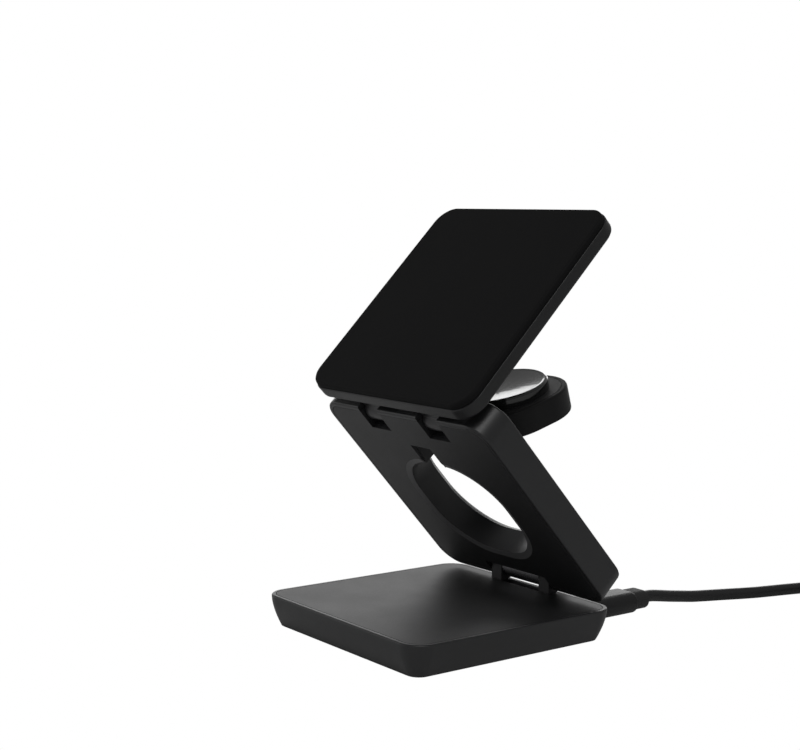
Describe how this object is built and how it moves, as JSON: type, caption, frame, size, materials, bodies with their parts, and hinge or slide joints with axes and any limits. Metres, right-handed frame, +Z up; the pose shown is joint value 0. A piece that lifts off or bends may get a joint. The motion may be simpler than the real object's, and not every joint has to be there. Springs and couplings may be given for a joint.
{
  "type": "foldable wireless charging stand",
  "caption": "Folding charging stand: flat base pad, leaning arm with a fold-out round pad in its window, tilting top panel and a plugged-in supply cord.",
  "frame": {"origin": "centre of the foot pad's underside, on the table under the middle of the base", "axes": "+X along the hinges to the side with the supply socket, +Y to the back, +Z up"},
  "size_m": [0.1198, 0.2081, 0.1196],
  "materials": {
    "shell": "satin",
    "inner_plastic": "satin",
    "soft_rubber": "matte",
    "steel": "brushed",
    "dark_metal": "satin",
    "board": "gloss",
    "ferrite": "matte",
    "copper": "bare copper",
    "gloss": "gloss",
    "grip": "satin",
    "cord_skin": "satin"
  },
  "bodies": {
    "base": {"base_shell": "shell", "base_top_plate": "inner_plastic", "base_bottom_plate": "inner_plastic", "base_foot_pad": "soft_rubber", "base_weight": "steel", "base_board": "board", "base_board_chips": "ferrite", "usb_socket": "steel", "earbud_coil": "copper", "earbud_ferrite": "ferrite", "base_screws": "steel", "base_hinge_bracket": "dark_metal", "lower_hinge_pin": "steel", "plug_shell": "steel", "plug_grip": "grip", "plug_relief": "soft_rubber", "cable_run": "cord_skin", "cable_coil": "cord_skin", "coil_tie": "soft_rubber", "cable_tail": "cord_skin", "far_relief": "soft_rubber", "far_grip": "grip", "far_plug_shell": "steel"},
    "arm": {"arm_frame": "shell", "arm_front_cover": "inner_plastic", "arm_hinge_leaf": "steel", "arm_flex_lead": "board", "arm_screws": "steel", "upper_hinge_pin": "steel", "watch_hinge_pin": "steel"},
    "panel": {"panel_back_shell": "shell", "panel_front_pad": "soft_rubber", "panel_magnet_ring": "steel", "phone_coil": "copper", "phone_ferrite": "ferrite", "panel_board": "board", "panel_hinge_bracket": "steel", "panel_screws": "steel"},
    "watch_pad": {"watch_pad_shell": "shell", "watch_pad_cover": "inner_plastic", "watch_puck_rim": "gloss", "watch_puck_face": "gloss", "watch_coil": "copper", "watch_ferrite": "ferrite", "watch_magnet": "steel", "watch_board": "board"}
  },
  "joints": [
    {"name": "base_arm", "type": "hinge", "parent": "base", "child": "arm", "pos_m": [0, 0.0353, 0.0142], "axis": [1, 0, 0], "range_deg": [-43, 47]},
    {"name": "arm_panel", "type": "hinge", "parent": "arm", "child": "panel", "pos_m": [0, -0.01046, 0.06327], "axis": [1, 0, 0], "range_deg": [-26, 22]},
    {"name": "arm_watch_pad", "type": "hinge", "parent": "arm", "child": "watch_pad", "pos_m": [0, -0.00282, 0.05713], "axis": [1, 0, 0], "range_deg": [-63.7, 12]}
  ]
}
